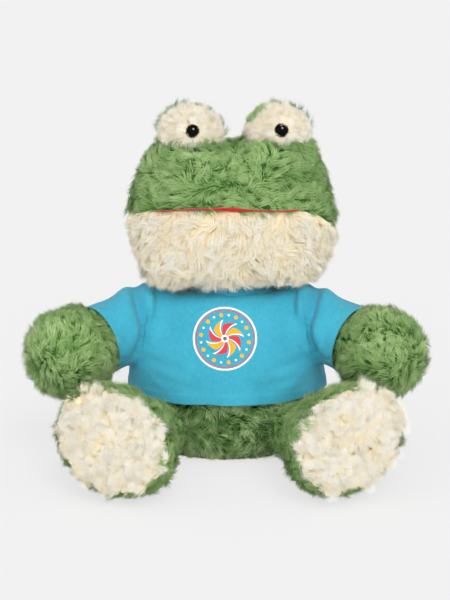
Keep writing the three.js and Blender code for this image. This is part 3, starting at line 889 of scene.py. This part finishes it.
# the shirt's body as rows for boxy, less their roundness, and a sleeve as a profile for lathe
SHIRT_ROWS = np.array([
    [30, 0, 0, 0], [30.2, 61.5, 47, 46], [40, 62.3, 47.6, 46.5], [46, 62, 46.9, 45.5], [52, 61.2, 45.8, 44],
    [58, 59.8, 44.2, 42], [64, 57.4, 42.3, 39.5], [70, 55, 40.2, 37], [76, 53, 38, 34.5], [82, 51, 35.7, 32],
    [88, 50, 33.2, 30], [93, 49, 31.2, 28], [97, 47.5, 29.2, 26], [99.5, 46, 27.6, 24], [101.4, 43, 25.6, 22],
    [102.4, 0, 0, 0]])
SLEEVE = np.array([
    [0, -21], [10, -18.5], [17, -12], [20.3, -3], [21, 6], [21.3, 15], [21.5, 24], [21.6, 32], [21.6, 38], [0, 38.2]])


def shirt_union():
    """The body and the sleeves, grown together into one surface"""
    rows = [[z, w, f, b, 2.0 + 0.6 * math.sin(math.pi * min(max((z - 40) / 62, 0), 1))] for z, w, f, b in SHIRT_ROWS]
    fine = []
    for r0, r1 in zip(rows, rows[1:]):
        fine += [list(np.array(r0) + (np.array(r1) - r0) * t) for t in (0, 0.5)]
    solids = [boxy([*fine, rows[-1]])]
    for _, side in SIDES:
        points, tris = lathe(SLEEVE, 1, 72)
        solids.append((on_limb(points, *ARMS[side]), tris))
    at, all_tris = 0, []
    for points, tris in solids:
        all_tris.append(tris + at)
        at += len(points)
    obj = mesh_object("union", np.concatenate([x[0] for x in solids]), np.concatenate(all_tris), GREEN)
    remesh = obj.modifiers.new("remesh", "REMESH")
    remesh.mode = "VOXEL"
    remesh.voxel_size = 1.9 * MM
    mesh = bpy.data.meshes.new_from_object(obj.evaluated_get(bpy.context.evaluated_depsgraph_get()))
    bpy.data.objects.remove(obj)
    return mesh


ARMHOLE, ARMHOLE_AT = unit(np.array([0.97, -0.2, 0.2])), 69.2


def in_sleeve(p, side):
    return p @ mirrored(ARMHOLE, side) > ARMHOLE_AT


def cut_shirt(mesh):
    """Opens the hem, the neck and the cuffs, and cuts along the seams"""
    bm = bmesh.new()
    bm.from_mesh(mesh)

    def cut(co, no, **clear):
        bmesh.ops.bisect_plane(bm, geom=[*bm.verts, *bm.edges, *bm.faces], dist=1e-6,
                               plane_co=Vector(co) * MM, plane_no=Vector(no), **clear)

    cut((0, 0, hem_z), (0, 0, 1), clear_inner=True)
    cut((0, -1, 0), (0, 1, 0))
    for _, side in SIDES:
        start, way = ARMS[side]
        cut(start + way * 28, way, clear_outer=True)
        cut(mirrored(ARMHOLE, side) * ARMHOLE_AT, mirrored(ARMHOLE, side))
    hole = [v for v in bm.verts if v.co.z > 80 * MM
            and math.hypot(v.co.x - neck_at[0] * MM, v.co.y - neck_at[1] * MM) < NECK_HOLE * MM]
    bmesh.ops.delete(bm, geom=hole, context="VERTS")
    bmesh.ops.triangulate(bm, faces=bm.faces)
    bm.verts.ensure_lookup_table()
    points = np.array([v.co for v in bm.verts]) / MM
    tris = np.array([[v.index for v in f.verts] for f in bm.faces])
    bm.free()
    return compact(points, tris)


def smoothed(points, tris, turns, hold):
    """Relaxes towards the neighbours' mean. hold keeps an open edge on its own line."""
    n = len(points)
    edges = np.unique(np.sort(sides_of(tris), 1), axis=0)
    both = np.concatenate([edges, edges[:, ::-1]])
    rim = open_sides(tris, n)
    rim = np.concatenate([rim, rim[:, ::-1]])
    on_rim = np.zeros(n, bool)
    on_rim[rim.ravel()] = True
    use = np.concatenate([both[~on_rim[both[:, 0]]], rim])
    many = np.maximum(np.bincount(use[:, 0], minlength=n), 1)
    for _ in range(turns):
        mean = np.stack([np.bincount(use[:, 0], points[use[:, 1], i], n) for i in range(3)], 1) / many[:, None]
        points = hold(points + 0.5 * (mean - points), on_rim)
    return points


def clear_of_body(p):
    """Pushes cloth out of the torso and the arms under it"""
    r = np.interp(p[:, 2], torso_outline[1:-1, 1], torso_outline[1:-1, 0])
    q = np.hypot(p[:, 0], p[:, 1] / torso_squash)
    short = np.maximum(r + 1.2 - q, 0) * (p[:, 2] < 100)
    p = p + unit(p * [1, 1, 0]) * short[:, None]
    p[:, 2] = np.where((q < 22) & (p[:, 2] > 90), np.maximum(p[:, 2], 101.6), p[:, 2])
    for start, way in (ARMS[1], ARMS[-1]):
        s = (p - start) @ way
        axis = start + way * np.maximum(s, 0)[:, None]
        off = p - axis
        far = np.linalg.norm(off, axis=1)
        least = np.interp(s, [12, 20], [15, 19.6])
        near = (far < least) & (s > -19) & (s < 30)
        p[near] = axis[near] + off[near] * (least[near] / np.maximum(far[near], 1))[:, None]
    return p


def fold(p, start, end, wide, high):
    """A ridge or, if high is negative, a crease between two points"""
    a, b = np.array(start, float), np.array(end, float)
    way = (b - a) * [1, 0.3, 1]
    t = np.clip(((p - a) * [1, 0.3, 1]) @ way / (way @ way), 0, 1)
    far = np.linalg.norm((p - (a + t[:, None] * (b - a))) * [1, 0.3, 1], axis=1)
    same_side = np.clip(0.5 + p[:, 1] * np.sign(a[1] + b[1]) / 12, 0, 1)
    faded = 0.35 + 0.65 * np.sin(math.pi * np.clip(t * 0.9 + 0.05, 0, 1))
    return same_side * high * np.exp(-((far / wide) ** 2)) * faded


# the shirt's folds on its left half: from, to, width and height
FOLDS = [
    # the armhole's crease, with the full cloth on both sides of it
    ((58, -10, 106), (52, -27, 96), 2.6, -5.2), ((52, -27, 97), (48, -34, 87), 2.8, -5.4),
    ((48.4, -34, 88), (50, -32, 75), 2.6, -5.0), ((50, -32, 76), (56, -27, 65), 2.4, -5.0),
    ((61, -18, 101), (54, -33, 80), 3.6, 2.2), ((50.5, -14, 107), (44.5, -35, 90), 3.2, 4.4),
    ((55, -32, 83), (61, -29, 68), 3.0, 2.4), ((59, -30, 70), (74, -38, 82), 1.9, -3.0),
    ((57, -31, 78), (69, -34, 93), 2.2, -2.0), ((58, -31, 66), (76, -40, 71), 2.0, -2.4),
    # from the neck to the underarm
    ((46, -16, 106), (40, -36, 97), 2.2, -3.6), ((40, -37, 98), (43, -37, 89), 2.6, -3.2),
    ((43, -37, 90), (54, -29, 68), 2.6, -4.2), ((36, -38, 92), (49, -35, 66), 3.4, 2.4),
    ((52, -33, 66), (28, -44, 60), 3.0, -1.1), ((54, -30, 60), (36, -45, 48), 3.2, 1.0),
    ((50, -34, 55), (18, -48, 50), 2.8, -0.8), ((20, -45, 50), (44, -38, 42), 3.0, -0.5),
    # behind
    ((30, 36, 78), (52, 26, 60), 3.0, -1.9), ((40, 24, 96), (53, 18, 66), 2.6, -2.2),
    ((12, 36, 88), (40, 34, 58), 3.6, -1.3), ((20, 42, 62), (54, 30, 50), 3.4, -1.2),
]
# the full cloth on the shoulder: middle, size and height
HUMPS = [((48, -8, 103), (10, 13, 9), 5.8), ((38, -12, 103), (8, 14, 8), 2.4), ((62, -15, 97), (6, 12, 8), 3.4)]


def collar_r(r, out_y):
    """A radius about the neck, drawn in towards the front"""
    ahead = np.clip(-out_y, 0, 1)
    return 19.8 - 1.0 * ahead + (r - 19.8) * (1 - 0.42 * ahead)


def neck_rise(p):
    """The chin holds the front of the neck's edge up"""
    q = p - neck_at
    far = np.hypot(q[:, 0], q[:, 1])
    ahead = np.clip(-q[:, 1] / np.maximum(far, 1), 0, 1)
    return 4.2 * ahead**1.5 * np.exp(-((np.maximum(far - 24, 0) / 8) ** 2)) * (p[:, 2] > 80)


def shirt_surface():
    points, tris = cut_shirt(shirt_union())

    def hold(p, rim):
        low = rim & (p[:, 2] < 50) & (np.abs(p[:, 0]) < 70)
        p[low, 2] = hem_z
        neck = rim & (np.hypot(p[:, 0] - neck_at[0], p[:, 1] - neck_at[1]) < 34) & (p[:, 2] > 80)
        out = unit(p[neck, :2] - neck_at[:2])
        p[neck, :2] = neck_at[:2] + out * collar_r(NECK_HOLE, out[:, 1])[:, None]
        return clear_of_body(p)

    points = smoothed(points, tris, 14, hold)
    # one split of each face into four, for the folds
    ends, which = np.unique(np.sort(sides_of(tris), 1), axis=0, return_inverse=True)
    a, b, c = tris.T
    ab, bc, ca = which.reshape(3, -1) + len(points)
    points = np.concatenate([points, points[ends].mean(axis=1)])
    tris = np.concatenate([np.stack(x, 1) for x in ((a, ab, ca), (b, bc, ab), (c, ca, bc), (ab, bc, ca))])
    points = smoothed(points, tris, 4, hold)
    normals = point_normals(points, tris)
    high = 0.55 * noise(points, 22, 61) + 0.25 * noise(points, 10, 62)
    for side, share in ((1, 1), (-1, 0.85)):
        q = points * [side, 1, 1]
        for start, end, wide, rise in FOLDS:
            high += fold(q, start, end, wide, rise * share)
        for at, size, rise in HUMPS:
            high += rise * np.exp(-(((q - at) / size) ** 2).sum(axis=1))
    # the hem's waves and its turned-up band
    on_body = np.abs(points[:, 0]) < 66
    theta = np.arctan2(points[:, 1], points[:, 0])
    drape = np.exp(-((points[:, 2] - hem_z) / 16)) * on_body
    high += drape * (0.8 * np.sin(5 * theta + 0.7) + 0.5 * np.sin(9 * theta + 2.0))
    high += 0.35 * (np.clip((hem_z + 6.4 - points[:, 2]) / 0.7, 0, 1) * on_body)
    points = points + normals * high[:, None]
    points[:, 2] += neck_rise(points)
    return clear_of_body(points), tris


def jersey(name, print_at=None):
    """Knitted cotton. The knit map counts the stitches, across in u and up in v."""
    s = Shader(name)
    m = s.math
    u, v = s.split(s.add("ShaderNodeUVMap", uv_map="knit").outputs[0])[:2]
    # stitches: columns of small V shapes
    lean = m("ADD", v, m("MULTIPLY", m("PINGPONG", u, 0.5), 1.6))
    stitch = m("MULTIPLY", m("SINE", m("MULTIPLY", lean, 2 * math.pi)), 0.5)
    rib = m("SINE", m("MULTIPLY", u, 2 * math.pi))
    height = m("ADD", m("MULTIPLY", rib, 0.6), stitch)
    slub = s.grain(Scale=420.0, Detail=5.0, Roughness=0.65)
    wash = s.grain(Scale=38.0, Detail=3.0)
    cloth = s.ramp(m("ADD", m("MULTIPLY", slub, 0.55), m("MULTIPLY", wash, 0.45)),
                   [(0.3, linear(51, 154, 181)), (0.7, linear(68, 175, 201))])
    # painted shade: the stitches' low places are made a few percent darker
    shade = m("MULTIPLY_ADD", height, 0.03, 0.97)
    painted_knit_shade = s.add("ShaderNodeCombineColor", Red=shade, Green=shade, Blue=shade)
    cloth = s.mix(1.0, cloth, painted_knit_shade.outputs[0], "MULTIPLY")
    if print_at:
        cloth = badge(s, cloth, *print_at)
    s.set(Base_Color=cloth, Normal=s.bump(m("ADD", height, slub), 0.35, 0.00025),
          Roughness=0.85, Sheen_Weight=0.15, Sheen_Roughness=0.5, Specular_IOR_Level=0.25)
    return s.material


def badge(s, cloth, x, z, wide, high):
    """A printed round badge: two rings, a circle of dots and a pinwheel"""
    m = s.math

    def length(a, b):
        return m("SQRT", m("ADD", m("POWER", a, 2.0), m("POWER", b, 2.0)))

    def between(value, low, high):
        return m("MULTIPLY", m("GREATER_THAN", value, low), m("LESS_THAN", value, high))

    place = s.split(s.place())
    a = m("DIVIDE", m("SUBTRACT", place["X"], x * MM), wide * MM)
    b = m("DIVIDE", m("SUBTRACT", place["Z"], z * MM), high * MM)
    r = length(a, b)
    turn = m("ADD", m("DIVIDE", m("ARCTAN2", b, a), 2 * math.pi), 0.5)
    white, red, yellow, grey = linear(240, 244, 244), linear(214, 62, 74), linear(240, 172, 40), linear(96, 108, 116)
    cloth = s.mix(between(r, 0.945, 1.0), cloth, white)
    cloth = s.mix(between(r, 0.885, 0.915), cloth, red)
    # dots, every second one large and yellow
    dots, dots_r = 20, 0.75
    step = m("MULTIPLY", turn, float(dots))
    over = m("MULTIPLY", m("SUBTRACT", m("FRACT", step), 0.5), 2 * math.pi * dots_r / dots)
    far = length(over, m("SUBTRACT", r, dots_r))
    odd = m("GREATER_THAN", m("FRACT", m("MULTIPLY", step, 0.5)), 0.5)
    cloth = s.mix(m("LESS_THAN", far, m("MULTIPLY_ADD", odd, 0.028, 0.036)), cloth, s.mix(odd, white, yellow))
    # vanes that curve as they go out, red and yellow by turns
    vane = m("FRACT", m("ADD", m("MULTIPLY", turn, 8.0), m("MULTIPLY", r, 1.5)))
    edge = m("SUBTRACT", 0.6, m("MULTIPLY", vane, 0.2))
    sail = m("MULTIPLY", m("LESS_THAN", r, edge), m("LESS_THAN", vane, 0.82))
    turned = m("GREATER_THAN", m("FRACT", m("ADD", m("MULTIPLY", turn, 4.0), m("MULTIPLY", r, 0.75))), 0.5)
    cloth = s.mix(sail, cloth, s.mix(turned, red, yellow))
    cloth = s.mix(m("MULTIPLY", sail, m("LESS_THAN", vane, 0.12)), cloth, white)
    cloth = s.mix(m("LESS_THAN", r, 0.12), cloth, white)
    return s.mix(m("LESS_THAN", r, 0.06), cloth, grey)


WALE, COURSE = 1.1, 0.85


def knitted(obj, tris, u, v, node, body=None):
    """Maps a piece's stitches, from places across and up in mm, and hands it over"""
    layer = obj.data.uv_layers.new(name="knit")
    layer.uv.foreach_set("vector", np.stack([u / WALE, v / COURSE], 1)[tris].astype(np.float32).ravel())
    hand_over(obj, node, body)


shirt_points, shirt_tris = shirt_surface()
whole_shirt = Form(shirt_points, shirt_tris)
PLAIN = jersey("blue jersey")
PRINTED = jersey("blue jersey, printed", (-0.6, 79, 19.4, 18.2))

for half, material in (("front", PRINTED), ("back", PLAIN)):
    form = whole_shirt.part(
        lambda p: ~in_sleeve(p, 1) & ~in_sleeve(p, -1) & ((p[:, 1] < -1) == (half == "front")))
    points, tris = form.shell(0, JERSEY_THICK)
    panel = mesh_object(f"jersey_{half}", points, tris, material)
    facing = np.sign(form.points[:, 1].mean())
    knitted(panel, tris, np.arctan2(points[:, 0], facing * points[:, 1]) * 52, points[:, 2], f"shirt_{half}", "torso")

for suffix, side in SIDES:
    start, way = ARMS[side]
    points, tris = whole_shirt.part(lambda p: in_sleeve(p, side)).shell(0, JERSEY_THICK)
    sleeve = mesh_object(f"jersey_sleeve_{suffix}", points, tris, PLAIN)
    local = (points - start) @ basis(way)
    knitted(sleeve, tris, np.arctan2(local[:, 0], local[:, 1]) * 21, local[:, 2], f"sleeve_{suffix}")
    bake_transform(sleeve)

# the collar: a ribbed section of [radius, up] carried about the neck's edge
a = np.linspace(0, 2 * math.pi, 361)[:-1]
ribs = 0.22 * np.cos(a * 72)
off = shirt_points - neck_at
edge = off[(np.hypot(off[:, 0], off[:, 1]) < 26.2) & (shirt_points[:, 2] > 80)]
turn = np.arctan2(edge[:, 1], edge[:, 0]) % (2 * math.pi)
order = np.argsort(turn)
edge_z = np.interp(a, turn[order], edge[order, 2] + neck_at[2], period=2 * math.pi)
edge_z = np.convolve(np.concatenate([edge_z[-9:], edge_z, edge_z[:9]]), np.ones(19) / 19, "valid")
section = [(25.6, -0.6), (26.9, -0.3), (26.7, 0.35), (24.8, 1.0), (22.6, 1.5), (20.6, 1.6), (19.8, 1.1), (20.4, 0.5),
           (22.4, 0.3), (24.2, 0.0)]
rings = []
for i, (r, up) in enumerate(section):
    t = min(max((26.5 - r) / 5.5, 0), 1)
    far = collar_r(r, np.sin(a))
    ring = np.stack([neck_at[0] + far * np.cos(a), neck_at[1] + far * np.sin(a), np.full(len(a), 101.8)], 1)
    ring[:, 2] += neck_rise(ring)
    ring[:, 2] = edge_z + (ring[:, 2] - edge_z) * t * t * (3 - 2 * t) + up + ribs * (1 if 1 < i < 7 else 0.3)
    rings.append(ring)
points = np.concatenate(rings)
grid = np.arange(len(points)).reshape(-1, len(a))
tris = woven(np.vstack([grid, grid[:1]]))
collar = mesh_object("jersey_collar", points, tris, PLAIN)
knitted(collar, tris, np.tile(a * 24, len(rings)), points[:, 2], "collar", "torso")


# ---------------------------------------------------------------- washers and fibre
for suffix, _ in SIDES:
    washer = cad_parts[f"eye_washer_{suffix}"].data.materials
    washer.clear()
    washer.append(NYLON)


def stuffing(node, body, form, depth, seed, dents=(), lumps=1.1):
    """A lump of fibre inside a skin, pressed in where a limb's round root rolls"""
    points = form.points - form.normals * (depth + lumps * noise(form.points, 9, seed)[:, None])
    for centre, radius in dents:
        far = distance(points, centre)
        inside = far < radius
        points[inside] = centre + (points[inside] - centre) * (radius / np.maximum(far[inside], 1))[:, None]
    obj = mesh_object("fibre_" + node.replace("_stuffing", ""), points, form.tris, FIBRE)
    hand_over(obj, node, body)


ROOTS = [(ARMS[side][0], arm_r + 2.5) for side in (1, -1)] + [(LEGS[side][0], leg_r + 2.5) for side in (1, -1)]
stuffing("torso_stuffing", "torso", torso_form(64), 8.5, 900, [*ROOTS, (neck_at, 20.5)])
# the head's fibre keeps clear of the skin's boxy edge at the top
lump = head_form(64)
above = np.clip((lump.points[:, 2:] - 160) / 20, 0, 2)
lump = Form(lump.points - above * np.array([0.16, 0.16, 0.06]) * (lump.points - neck_at), lump.tris)
stuffing("head_stuffing", "head", lump, 8.5, 910)
for suffix, side in SIDES:
    stuffing(f"eye_stuffing_{suffix}", "head", dome_form(side), 7.2, 920 + side, lumps=0.55)
    stuffing(f"arm_stuffing_{suffix}", f"arm_{suffix}", arm_form(side), 8, 930 + side)
    stuffing(f"leg_stuffing_{suffix}", f"leg_{suffix}", leg_form(side), 8, 940 + side)


# ---------------------------------------------------------------- floor
paper = Shader("paper")
paper.set(Base_Color=BACKGROUND, Roughness=1.0, Specular_IOR_Level=0.0)
plain = paper.add("ShaderNodeEmission", Color=BACKGROUND, Strength=0.99)
eased = paper.math("MULTIPLY", paper.add("ShaderNodeLightPath").outputs["Is Camera Ray"], 0.8)
paper.link(paper.mix_shaders(eased, paper.surface, plain), paper.out.inputs["Surface"])

floor = bpy.data.meshes.new("floor")
floor.from_pydata([(-20, -20, 0), (20, -20, 0), (20, 20, 0), (-20, 20, 0)], [], [(0, 1, 2, 3)])
floor.materials.append(paper.material)
ground = add_object("floor", floor)
ground.visible_glossy = False
